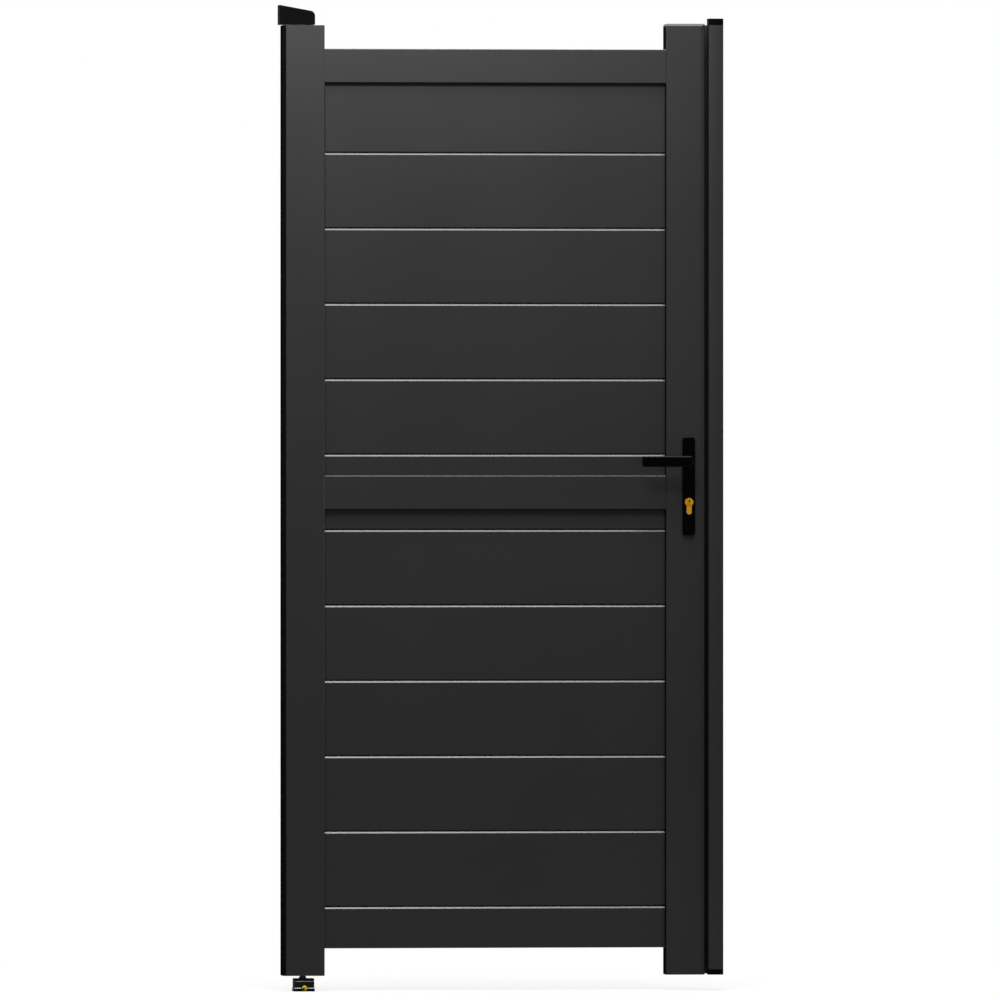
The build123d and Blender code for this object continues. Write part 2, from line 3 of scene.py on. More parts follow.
import json
import logging
import math
from collections.abc import Callable
from dataclasses import dataclass
from enum import Enum
from typing import Any

import bpy
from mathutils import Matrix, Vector

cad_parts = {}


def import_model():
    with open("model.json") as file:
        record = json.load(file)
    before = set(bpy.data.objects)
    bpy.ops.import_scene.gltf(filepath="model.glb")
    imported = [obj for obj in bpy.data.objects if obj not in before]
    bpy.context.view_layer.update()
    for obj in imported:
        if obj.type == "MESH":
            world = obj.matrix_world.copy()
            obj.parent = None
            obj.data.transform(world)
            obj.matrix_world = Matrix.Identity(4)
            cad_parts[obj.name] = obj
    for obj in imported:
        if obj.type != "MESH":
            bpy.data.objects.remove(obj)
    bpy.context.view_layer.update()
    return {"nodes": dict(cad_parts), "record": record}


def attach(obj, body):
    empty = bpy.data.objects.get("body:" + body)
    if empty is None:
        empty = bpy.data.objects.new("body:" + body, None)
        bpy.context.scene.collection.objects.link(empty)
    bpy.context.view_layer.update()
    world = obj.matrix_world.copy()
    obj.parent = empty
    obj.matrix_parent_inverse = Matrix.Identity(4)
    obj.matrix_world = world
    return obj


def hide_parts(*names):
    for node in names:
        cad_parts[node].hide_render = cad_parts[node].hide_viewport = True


LOG = logging.getLogger("gate")
Colour = tuple[float, float, float]
Point = tuple[float, float, float]
Range = tuple[float, float]

HAIR = 1e-5
FLAT = 0.99
SMOOTH_ANGLE_DEG = 32.0
TO_STRIKE = (1.0, 0.0, 0.0)
TO_BACK = (0.0, 1.0, 0.0)
UPWARDS = (0.0, 0.0, 1.0)
BLACK = (0.0, 0.0, 0.0)
WHITE = (1.0, 1.0, 1.0)
BEVEL_SLOPE = (0.5, 0.65)
STEEP_SLOPE = (0.8, 0.9)
EDGE_TURN = (0.15, 0.6)
EDGE_OUT = (0.1, 0.4)


class Socket:
    """One value in a shader, with the arithmetic that the finishes need."""

    def __init__(self, graph: "Graph", link: bpy.types.NodeSocket) -> None:
        """Keep the graph and the output socket that holds the value."""
        self.graph = graph
        self.link = link

    def __add__(self, other: "Socket | float") -> "Socket":
        """Sum of two values."""
        return self.graph.maths("ADD", self, other)

    __radd__ = __add__

    def __sub__(self, other: "Socket | float") -> "Socket":
        """This value less another."""
        return self.graph.maths("SUBTRACT", self, other)

    def __rsub__(self, other: "Socket | float") -> "Socket":
        """Another value less this one."""
        return self.graph.maths("SUBTRACT", other, self)

    def __mul__(self, other: "Socket | float") -> "Socket":
        """Product of two values."""
        return self.graph.maths("MULTIPLY", self, other)

    __rmul__ = __mul__


class Graph:
    """The node tree of one material or of the world."""

    def __init__(self, tree: bpy.types.NodeTree) -> None:
        """Empty the tree, so that only the nodes made here are in it."""
        self.tree = tree
        tree.nodes.clear()

    def node(
        self, kind: str, settings: dict[str, Any] | None = None, inputs: dict[Any, Any] | None = None
    ) -> bpy.types.Node:
        """Add one node.

        Args:
            kind: Blender's name of the node's type.
            settings: Attributes of the node, set before its sockets.
            inputs: Values or links, by the socket's name or number.

        Returns:
            The new node.
        """
        made = self.tree.nodes.new(kind)
        for name, value in (settings or {}).items():
            setattr(made, name, value)
        for key, value in (inputs or {}).items():
            self.feed(made.inputs[key], value)
        return made

    def feed(self, socket: bpy.types.NodeSocket, value: Any) -> None:
        """Link a value to a socket, or set it where it is a plain number or colour.

        Args:
            socket: The node's input.
            value: A link, a number or a colour.
        """
        if isinstance(value, Socket):
            self.tree.links.new(value.link, socket)
        elif isinstance(value, bpy.types.NodeSocket):
            self.tree.links.new(value, socket)
        elif socket.type == "RGBA" and len(value) == 3:
            socket.default_value = (*value, 1.0)
        else:
            socket.default_value = value

    def maths(self, operation: str, left: Any, right: Any) -> Socket:
        """Result of one Math node on two values."""
        made = self.node("ShaderNodeMath", {"operation": operation}, {0: left, 1: right})
        return Socket(self, made.outputs[0])

    def between(self, value: Any, low: float, high: float) -> Socket:
        """Ease a value from 0 to 1.

        Args:
            value: The value.
            low: Where the result is 0.
            high: Where the result is 1.

        Returns:
            The eased value.
        """
        settings = {"interpolation_type": "SMOOTHSTEP"}
        inputs = {"Value": value, "From Min": low, "From Max": high}
        return Socket(self, self.node("ShaderNodeMapRange", settings, inputs).outputs["Result"])

    def mix(self, share: Any, first: Any, second: Any) -> Socket:
        """Colour between two, by a share from 0 to 1."""
        made = self.node("ShaderNodeMix", {"data_type": "RGBA"}, {0: share, 6: first, 7: second})
        return Socket(self, made.outputs[2])

    def dot(self, way: Any, axis: Point) -> Socket:
        """How far a direction points along an axis."""
        made = self.node("ShaderNodeVectorMath", {"operation": "DOT_PRODUCT"}, {0: way, 1: axis})
        return Socket(self, made.outputs["Value"])

    def place(self) -> Socket:
        """Object coordinates, which are the row frame in metres."""
        return Socket(self, self.node("ShaderNodeTexCoord").outputs["Object"])

    def size(self, value: Any) -> Socket:
        """A value without its sign."""
        return self.maths("ABSOLUTE", value, 0.0)

    def looks(self, axis: Point) -> Socket:
        """How far a face looks along an axis of the row frame."""
        return self.dot(self.node("ShaderNodeTexCoord").outputs["Normal"], axis)

    def slanting(self) -> Socket:
        """Where a face slants up or down by about 45 degrees, as a bevel along a bar does."""
        slope = self.size(self.looks(UPWARDS))
        return self.between(slope, *BEVEL_SLOPE) * (1 - self.between(slope, *STEEP_SLOPE))

    def shutting(self) -> Socket:
        """Where a face looks both out and to the strike, as the leaf's rounded shutting edge does."""
        out = self.size(self.looks(TO_BACK))
        return self.between(self.looks(TO_STRIKE), *EDGE_TURN) * self.between(out, *EDGE_OUT)

    def noise(self, where: Any, scale: float, detail: float = 2.0, stretch: Point = (1, 1, 1)) -> Socket:
        """Make soft noise about 0.5.

        Args:
            where: Coordinates in metres.
            scale: Waves a metre.
            detail: How many finer layers it has.
            stretch: Factor of the scale along each axis.

        Returns:
            The noise.
        """
        spread = self.node("ShaderNodeMapping", None, {"Vector": where, "Scale": stretch})
        inputs = {"Vector": spread.outputs[0], "Scale": scale, "Detail": detail}
        return Socket(self, self.node("ShaderNodeTexNoise", None, inputs).outputs["Fac"])

    def bump(self, height: Any, strength: float, distance: float) -> Socket:
        """Normal bent by a height, with the distance in metres."""
        inputs = {"Height": height, "Strength": strength, "Distance": distance}
        return Socket(self, self.node("ShaderNodeBump", None, inputs).outputs[0])


@dataclass(frozen=True)
class Finish:
    """A finish with its own grain; each kind of surface fills in its own nodes."""

    name: str
    colour: Colour
    roughness: float

    def material(self) -> bpy.types.Material:
        """Build the Blender material of this finish.

        Returns:
            The material, ready to be given to a piece.
        """
        made = bpy.data.materials.new(self.name)
        made.use_nodes = True
        graph = Graph(made.node_tree)
        shader = graph.node("ShaderNodeBsdfPrincipled")
        self.shade(graph, shader)
        graph.node("ShaderNodeOutputMaterial", None, {"Surface": shader.outputs[0]})
        return made

    def toned(self, share: float) -> Colour:
        """This finish's colour, lighter or darker by a share."""
        return tuple(channel * share for channel in self.colour)

    def shade(self, graph: Graph, shader: bpy.types.Node) -> None:
        """Feed the shader's sockets."""
        raise NotImplementedError


@dataclass(frozen=True)
class PowderCoat(Finish):
    """Baked powder on aluminium: a fine pebble with a satin skin."""

    pebble_m: float = 0.0007
    pebble_height_m: float = 0.00004
    pebble_strength: float = 0.25
    pebble_detail: float = 3.0
    cloud_waves: float = 3.0
    tones: Range = (0.9, 1.12)
    pebble_gloss: float = 0.1
    cloud_gloss: float = 0.06
    specular: float = 0.5
    painted_edge_light: float = 0.0
    bevel_highlight: float = 0.0
    bevel_highlight_reach_m: Range = (0.05, 0.06)

    def shade(self, graph: Graph, shader: bpy.types.Node) -> None:
        """Give a pebbled skin with faint clouds, with painted light on the shutting edge and painted
        highlights on bevels.

        Args:
            graph: Where the nodes go.
            shader: The shader that they feed.
        """
        where = graph.place()
        pebble = graph.noise(where, 1 / self.pebble_m, self.pebble_detail)
        cloud = graph.noise(where, self.cloud_waves)
        darker, lighter = (self.toned(share) for share in self.tones)
        skin = graph.mix(cloud, darker, lighter)
        # Painted light: the rounded shutting edge is made paler, as if light fell on it.
        if self.painted_edge_light:
            skin = graph.mix(graph.shutting(), skin, (self.painted_edge_light,) * 3)
        # Painted highlight: bevels standing out past a reach from the middle plane are made paler, as if
        # they caught light.
        if self.bevel_highlight:
            reach = graph.size(graph.dot(where, TO_BACK))
            painted_edge_light = graph.slanting() * graph.between(reach, *self.bevel_highlight_reach_m)
            skin = graph.mix(painted_edge_light, skin, (self.bevel_highlight,) * 3)
        graph.feed(shader.inputs["Base Color"], skin)
        gloss = self.roughness + self.pebble_gloss * (pebble - 0.5) + self.cloud_gloss * (cloud - 0.5)
        graph.feed(shader.inputs["Roughness"], gloss)
        graph.feed(shader.inputs["Specular IOR Level"], self.specular)
        graph.feed(shader.inputs["Normal"], graph.bump(pebble, self.pebble_strength, self.pebble_height_m))


@dataclass(frozen=True)
class Moulding(Finish):
    """Moulded plastic or rubber, with a spark-eroded grain."""

    grain_m: float = 0.0009
    grain_height_m: float = 0.00005
    grain_strength: float = 0.3
    grain_tone: float = 1.4
    grain_gloss: float = 0.12
    specular: float = 0.5

    def shade(self, graph: Graph, shader: bpy.types.Node) -> None:
        """Give a fine grain in tone, gloss and height.

        Args:
            graph: Where the nodes go.
            shader: The shader that they feed.
        """
        grain = graph.noise(graph.place(), 1 / self.grain_m)
        skin = graph.mix(grain, self.colour, self.toned(self.grain_tone))
        graph.feed(shader.inputs["Base Color"], skin)
        graph.feed(shader.inputs["Roughness"], self.roughness + self.grain_gloss * (grain - 0.5))
        graph.feed(shader.inputs["Specular IOR Level"], self.specular)
        graph.feed(shader.inputs["Normal"], graph.bump(grain, self.grain_strength, self.grain_height_m))


@dataclass(frozen=True)
class BareMetal(Finish):
    """Bare or plated metal with a drawn grain along one axis."""

    metallic: float = 1.0
    lines_per_m: Point = (60.0, 60.0, 4000.0)
    line_detail: float = 3.0
    line_height_m: float = 0.00005
    line_strength: float = 0.08
    line_tone: float = 0.78
    line_gloss: float = 0.15

    def shade(self, graph: Graph, shader: bpy.types.Node) -> None:
        """Give drawn lines in tone, gloss and height.

        Args:
            graph: Where the nodes go.
            shader: The shader that they feed.
        """
        lines = graph.noise(graph.place(), 1.0, self.line_detail, self.lines_per_m)
        skin = graph.mix(lines, self.toned(self.line_tone), self.colour)
        graph.feed(shader.inputs["Base Color"], skin)
        graph.feed(shader.inputs["Roughness"], self.roughness + self.line_gloss * (lines - 0.5))
        graph.feed(shader.inputs["Metallic"], self.metallic)
        graph.feed(shader.inputs["Normal"], graph.bump(lines, self.line_strength, self.line_height_m))


class Slot(Enum):
    """The record's material slots and the finish of each."""

    # The charcoal coat carries painted light on its shutting edge.
    CHARCOAL_COAT = PowderCoat("charcoal_coat", (0.014, 0.014, 0.0141), 0.38, specular=1.0, painted_edge_light=0.06)
    # The black metal carries painted highlights on the lever's bevels.
    BLACK_METAL = PowderCoat(
        "black_metal", (0.0004, 0.0004, 0.0006), 0.28, 0.0005, 0.00002, specular=0.1, bevel_highlight=0.012
    )
    BLACK_PLASTIC = Moulding("black_plastic", (0.001, 0.001, 0.0011), 0.35, specular=0.1)
    GREY_PLASTIC = Moulding("grey_plastic", (0.55, 0.55, 0.53), 0.5)
    STEEL = BareMetal("steel", (0.52, 0.52, 0.53), 0.35, 0.6)
    RAW_ALUMINIUM = BareMetal("raw_aluminium", (0.6, 0.6, 0.61), 0.4)
    BRASS = BareMetal("brass", (1.0, 0.48, 0.012), 0.35, 0.15)
    YELLOW_ZINC = BareMetal("yellow_zinc", (1.0, 0.74, 0.04), 0.35, 0.1)
    SEAL_RUBBER = Moulding("seal_rubber", (0.0085, 0.0085, 0.0085), 0.6, specular=0.0)


# The pivot casting carries a painted highlight on the bevels of its front.
PIVOT_CASTING = PowderCoat(
    "pivot_casting",
    (0.004, 0.004, 0.0041),
    0.42,
    0.0011,
    0.00006,
    specular=0.35,
    bevel_highlight=0.4,
    bevel_highlight_reach_m=(0.015, 0.019),
)


@dataclass
class Wardrobe:
    """The finishes, built once, and given to the nodes by the record's slots."""

    materials: dict[str, bpy.types.Material]

    @classmethod
    def stocked(cls) -> "Wardrobe":
        """Build every finish."""
        finishes = [slot.value for slot in Slot] + [PIVOT_CASTING]
        return cls({finish.name: finish.material() for finish in finishes})

    def dress(self, piece: bpy.types.Object, slot: str) -> None:
        """Give one piece the finish of a slot."""
        piece.data.materials.clear()
        piece.data.materials.append(self.materials[slot])

    def fit(self, piece: bpy.types.Object, body: str, slot: Slot) -> None:
        """Dress a new piece and let it move with a body.

        Args:
            piece: The finished piece.
            body: Name of the body.
            slot: The record's slot that the piece takes its finish from.
        """
        self.dress(piece, slot.value.name)
        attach(piece, body)
        LOG.info("fitted %s on %s", piece.name, body)


class Facing(Enum):
    """The way a fitting looks, as the turn that brings it there from straight up."""

    UP = (0.0, 0.0, 0.0)
    TO_STRIKE = (0.0, math.pi / 2, 0.0)
    TO_HINGE = (0.0, -math.pi / 2, 0.0)
    TO_FRONT = (math.pi / 2, 0.0, 0.0)
    TO_BACK = (-math.pi / 2, 0.0, 0.0)


class Pick(Enum):
    """What a selection in edit mode is made of."""

    FACE = "FACE"
    EDGE = "EDGE"


class Workpiece:
    """One mesh on the bench: a primitive that is shaped in edit mode, then set in its places."""

    def __init__(self, name: str) -> None:
        """Take the primitive that was just added, with its place put into its mesh."""
        self.piece = bpy.context.object
        self.piece.name = name
        bpy.ops.object.transform_apply(location=True, rotation=True, scale=True)

    @classmethod
    def turned(cls, name: str, sides: int, radius: float, low: float, high: float) -> "Workpiece":
        """Start from an upright bar.

        Args:
            name: Name of the piece.
            sides: Number of the bar's sides.
            radius: Distance from its axis to its corners.
            low: Height of its foot.
            high: Height of its top.

        Returns:
            The new workpiece.
        """
        bpy.ops.object.select_all(action="DESELECT")
        middle = (0.0, 0.0, (low + high) / 2)
        depth = high - low
        bpy.ops.mesh.primitive_cylinder_add(vertices=sides, radius=radius, depth=depth, location=middle)
        return cls(name)

    @classmethod
    def sawn(cls, name: str, low: Point, high: Point) -> "Workpiece":
        """Start from a block.

        Args:
            name: Name of the piece.
            low: Its lowest corner.
            high: Its highest corner.

        Returns:
            The new workpiece.
        """
        bpy.ops.object.select_all(action="DESELECT")
        middle = tuple((start + end) / 2 for start, end in zip(low, high))
        span = tuple(end - start for start, end in zip(low, high))
        bpy.ops.mesh.primitive_cube_add(size=1.0, location=middle, scale=span)
        return cls(name)

    def pick(self, kind: Pick, test: Callable[[Vector, Vector], bool]) -> None:
        """Select parts of the mesh and stay in edit mode.

        Args:
            kind: Faces, tested by their middle and normal, or edges, by their middle and run.
            test: Says whether a part is picked.
        """
        bpy.ops.object.mode_set(mode="EDIT")
        bpy.ops.mesh.select_mode(type=kind.value)
        bpy.ops.mesh.select_all(action="DESELECT")
        bpy.ops.object.mode_set(mode="OBJECT")
        mesh = self.piece.data
        if kind is Pick.FACE:
            for face in mesh.polygons:
                face.select = test(face.center, face.normal)
        else:
            for edge in mesh.edges:
                start, end = (mesh.vertices[number].co for number in edge.vertices)
                edge.select = test((start + end) / 2, end - start)
        bpy.ops.object.mode_set(mode="EDIT")

    def pick_top(self) -> None:
        """Select the level faces at the very top."""
        top = max(corner.co.z for corner in self.piece.data.vertices)
        self.pick(Pick.FACE, lambda middle, normal: normal.z > FLAT and middle.z > top - HAIR)

    def pick_rim(self) -> None:
        """Select the level edges at the very top."""
        top = max(corner.co.z for corner in self.piece.data.vertices)
        self.pick(Pick.EDGE, lambda middle, run: middle.z > top - HAIR and abs(run.z) < HAIR)

    def step(self, inward: float, rise: float) -> None:
        """Inset the selected faces and lift or sink what is left of them."""
        bpy.ops.mesh.inset(thickness=inward, depth=rise)
        bpy.ops.object.mode_set(mode="OBJECT")

    def round_off(self, radius: float, segments: int) -> None:
        """Round the selected edges."""
        bpy.ops.mesh.bevel(offset=radius, segments=segments, affect="EDGES")
        bpy.ops.object.mode_set(mode="OBJECT")

    def join_bar(self, sides: int, radius: float, low: float, high: float) -> None:
        """Add an upright bar to the mesh.

        Args:
            sides: Number of the bar's sides.
            radius: Distance from its axis to its corners.
            low: Height of its foot.
            high: Height of its top.
        """
        bpy.ops.object.mode_set(mode="EDIT")
        middle = (0.0, 0.0, (low + high) / 2)
        depth = high - low
        bpy.ops.mesh.primitive_cylinder_add(vertices=sides, radius=radius, depth=depth, location=middle)
        bpy.ops.object.mode_set(mode="OBJECT")

    def cut(self, tool: "Workpiece") -> None:
        """Take a tool's shape out of this piece and put the tool away.

        Args:
            tool: The shape that is cut out.
        """
        bpy.ops.object.select_all(action="DESELECT")
        self.piece.select_set(True)
        bpy.context.view_layer.objects.active = self.piece
        recess = self.piece.modifiers.new("recess", "BOOLEAN")
        recess.operation = "DIFFERENCE"
        recess.solver = "EXACT"
        recess.object = tool.piece
        bpy.ops.object.modifier_apply(modifier=recess.name)
        bpy.data.objects.remove(tool.piece)

    def move(self, shift: Point) -> None:
        """Shift the whole mesh."""
        self.piece.location = shift
        bpy.ops.object.transform_apply(location=True, rotation=True, scale=True)

    def finish(self) -> None:
        """Turn the faces outwards and smooth all but the sharp edges."""
        bpy.ops.object.mode_set(mode="EDIT")
        bpy.ops.mesh.select_all(action="SELECT")
        bpy.ops.mesh.normals_make_consistent(inside=False)
        bpy.ops.object.mode_set(mode="OBJECT")
        bpy.ops.object.shade_smooth_by_angle(angle=math.radians(SMOOTH_ANGLE_DEG))

    def set_out(self, places: dict[str, tuple[Point, Facing]]) -> list[bpy.types.Object]:
        """Copy the finished piece to its places, each copy with a mesh of its own.

        Args:
            places: Place of each copy and the way it looks, by the copy's name.

        Returns:
            The copies; the master is put away.
        """
        self.finish()
        copies = []
        for name, (place, facing) in places.items():
            bpy.ops.object.select_all(action="DESELECT")
            self.piece.select_set(True)
            bpy.context.view_layer.objects.active = self.piece
            bpy.ops.object.duplicate(linked=False)
            copy = bpy.context.object
            copy.name = name
            copy.location = place
            copy.rotation_euler = facing.value
            bpy.ops.object.transform_apply(location=True, rotation=True, scale=True)
            copies.append(copy)
        bpy.data.objects.remove(self.piece)
        return copies


@dataclass
class StrikeAnchors:
    """Hexagon bolts on washers that hold the strike's backplate to the wall."""

    plate_face_m: float = 0.8344
    row_m: float = 0.0105
    middle_m: float = 0.978
    steps_m: tuple[float, ...] = (-0.84, -0.28, 0.28, 0.84)
    washer_radius_m: float = 0.008
    washer_height_m: float = 0.0016
    washer_sides: int = 40
    washer_edge_m: float = 0.0004
    washer_edge_segments: int = 2
    head_sides: int = 6
    head_radius_m: float = 0.0072
    head_height_m: float = 0.0048
    crown_inset_m: float = 0.0011
    crown_m: float = 0.0007
    crown_rim_m: float = 0.0012
    dimple_m: float = 0.0004

    def build(self, wardrobe: Wardrobe) -> None:
        """Model one bolt and set it in each hole.

        Args:
            wardrobe: Gives the bolts their finish and their body.
        """
        seat = self.washer_height_m
        bolt = Workpiece.turned("anchor", self.washer_sides, self.washer_radius_m, 0.0, seat)
        bolt.pick_rim()
        bolt.round_off(self.washer_edge_m, self.washer_edge_segments)
        bolt.join_bar(self.head_sides, self.head_radius_m, seat, seat + self.head_height_m)
        crown = (self.crown_inset_m, self.crown_m)
        rim = (self.crown_rim_m, 0.0)
        dimple = (self.dimple_m, -self.dimple_m)
        for inward, rise in (crown, rim, dimple):
            bolt.pick_top()
            bolt.step(inward, rise)
        places = {}
        for number, step in enumerate(self.steps_m, 1):
            place = (self.plate_face_m, self.row_m, self.middle_m + step)
            places[f"strike_anchor_{number}"] = (place, Facing.TO_HINGE)
        for piece in bolt.set_out(places):
            wardrobe.fit(piece, "wall_hardware", Slot.STEEL)


@dataclass
class CrossScrew:
    """A raised screw head with a cross recess."""

    radius_m: float = 0.0042
    sides: int = 32
    rise_m: float = 0.0005
    rim_share: float = 0.3
    dome_shares: tuple[Range, ...] = ((0.25, 0.5), (0.25, 0.2))
    sunk_m: float = 0.001
    cross_length_m: float = 0.0046
    cross_width_m: float = 0.0010
    cutter_share: float = 4.0

    def model(self) -> Workpiece:
        """Dome the head in two steps and cut the cross.

        Returns:
            The screw, looking up from the place where it is set.
        """
        rim = self.rim_share * self.rise_m
        screw = Workpiece.turned("screw", self.sides, self.radius_m, -self.sunk_m, rim)
        for inward, rise in self.dome_shares:
            screw.pick_top()
            screw.step(inward * self.radius_m, rise * self.rise_m)
        long = self.cross_length_m / 2
        slim = self.cross_width_m / 2
        for half_x, half_y in ((long, slim), (slim, long)):
            low = (-half_x, -half_y, -self.sunk_m / 2)
            screw.cut(Workpiece.sawn("cross", low, (half_x, half_y, self.cutter_share * self.rise_m)))
        return screw


@dataclass
class LockScrews:
    """Screws of the lock's face plate on the leaf's edge and of the handle plate behind."""

    edge_face_m: float = 0.8035
    edge_heights_m: tuple[float, float, float] = (0.8835, 0.9725, 1.1035)
    plate_face_m: float = 0.033
    plate_row_m: float = 0.770
    plate_heights_m: Range = (0.919, 1.090)
    plate_screw_rise_m: float = 0.0012

    def build(self, wardrobe: Wardrobe) -> None:
        """Set the flat screws in the edge and the higher ones in the plate.

        Args:
            wardrobe: Gives the screws their finish and their body.
        """
        names = ("face_plate_screw_low", "cylinder_screw", "face_plate_screw_high")
        places = {
            name: ((self.edge_face_m, 0.0, height), Facing.TO_STRIKE)
            for name, height in zip(names, self.edge_heights_m)
        }
        for piece in CrossScrew().model().set_out(places):
            wardrobe.fit(piece, "leaf", Slot.STEEL)
        names = ("back_plate_screw_low", "back_plate_screw_high")
        places = {
            name: ((self.plate_row_m, self.plate_face_m, height), Facing.TO_BACK)
            for name, height in zip(names, self.plate_heights_m)
        }
        for piece in CrossScrew(rise_m=self.plate_screw_rise_m).model().set_out(places):
            wardrobe.fit(piece, "leaf", Slot.BLACK_METAL)


@dataclass
class KeywayShutters:
    """The dark sprung shutter in each end of the lock cylinder, with the slot for the key."""

    row_m: float = 0.770
    height_m: float = 0.9754
    plug_face_m: float = 0.0396
    proud_m: float = 0.00006
    half_width_m: float = 0.0011
    half_height_m: float = 0.0028
    length_m: float = 0.004
    corner_share: float = 0.4
    corner_segments: int = 3
    frame_share: float = 0.3
    slot_share: float = 0.1
    slot_depth_share: float = 2.0

    def build(self, wardrobe: Wardrobe) -> None:
        """Model a slotted shutter and set it in both plugs.

        Args:
            wardrobe: Gives the shutters their finish and their body.
        """
        half = self.half_width_m
        low = (-half, -self.half_height_m, -self.length_m)
        shutter = Workpiece.sawn("shutter", low, (half, self.half_height_m, 0.0))
        shutter.pick(Pick.EDGE, lambda spot, run: abs(run.z) > self.half_height_m)
        shutter.round_off(self.corner_share * half, self.corner_segments)
        shutter.pick_top()
        shutter.step(self.frame_share * half, 0.0)
        shutter.pick(Pick.FACE, lambda spot, normal: normal.z > FLAT and spot.length < HAIR)
        shutter.step(self.slot_share * half, -self.slot_depth_share * half)
        face = self.plug_face_m + self.proud_m
        places = {
            "keyway_shutter_front": ((self.row_m, -face, self.height_m), Facing.TO_FRONT),
            "keyway_shutter_back": ((self.row_m, face, self.height_m), Facing.TO_BACK),
        }
        for piece in shutter.set_out(places):
            wardrobe.fit(piece, "leaf", Slot.BLACK_METAL)


@dataclass
class PivotAdjuster:
    """The yellow screw of the floor pivot, with its hexagon socket off centre."""

    seat: Point = (0.0017, -0.0218, 0.0065)
    head_radius_m: float = 0.0055
    head_height_m: float = 0.004
    head_sides: int = 48
    dome_m: float = 0.0022
    dome_segments: int = 5
    shank_radius_m: float = 0.003
    shank_length_m: float = 0.011
    shank_sides: int = 24
    socket_radius_m: float = 0.0026
    socket_sides: int = 6
    socket_shift: Point = (-0.0019, -0.0017, 0.0)
    socket_floor_m: float = 0.001
    socket_shade_drop_m: float = 0.0008
    socket_shade_rim_m: float = 0.0004
    socket_shade_depth_m: float = 0.0012

    def build(self, wardrobe: Wardrobe) -> None:
        """Model the screw in place of its plain solid, and a black insert in its socket as painted shade.

        Args:
            wardrobe: Gives both their finish and their body.
        """
        screw = Workpiece.turned("adjuster", self.head_sides, self.head_radius_m, 0.0, self.head_height_m)
        screw.pick_rim()
        screw.round_off(self.dome_m, self.dome_segments)
        sides, radius, floor = self.socket_sides, self.socket_radius_m, self.socket_floor_m
        socket = Workpiece.turned("socket", sides, radius, floor, 2 * self.head_height_m)
        socket.move(self.socket_shift)
        screw.cut(socket)
        screw.join_bar(self.shank_sides, self.shank_radius_m, -self.shank_length_m, 0.0)
        for piece in screw.set_out({"pivot_adjuster": (self.seat, Facing.TO_FRONT)}):
            wardrobe.fit(piece, "wall_hardware", Slot.YELLOW_ZINC)
            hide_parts("adjusting_screw")
        # Painted shade: a black insert sits in the socket, standing in for the shade inside it.
        well = Workpiece.turned("well", sides, radius, floor, self.head_height_m - self.socket_shade_drop_m)
        well.move(self.socket_shift)
        well.pick_top()
        well.step(self.socket_shade_rim_m, -self.socket_shade_depth_m)
        for piece in well.set_out({"pivot_adjuster_well": (self.seat, Facing.TO_FRONT)}):
            wardrobe.fit(piece, "wall_hardware", Slot.BLACK_PLASTIC)


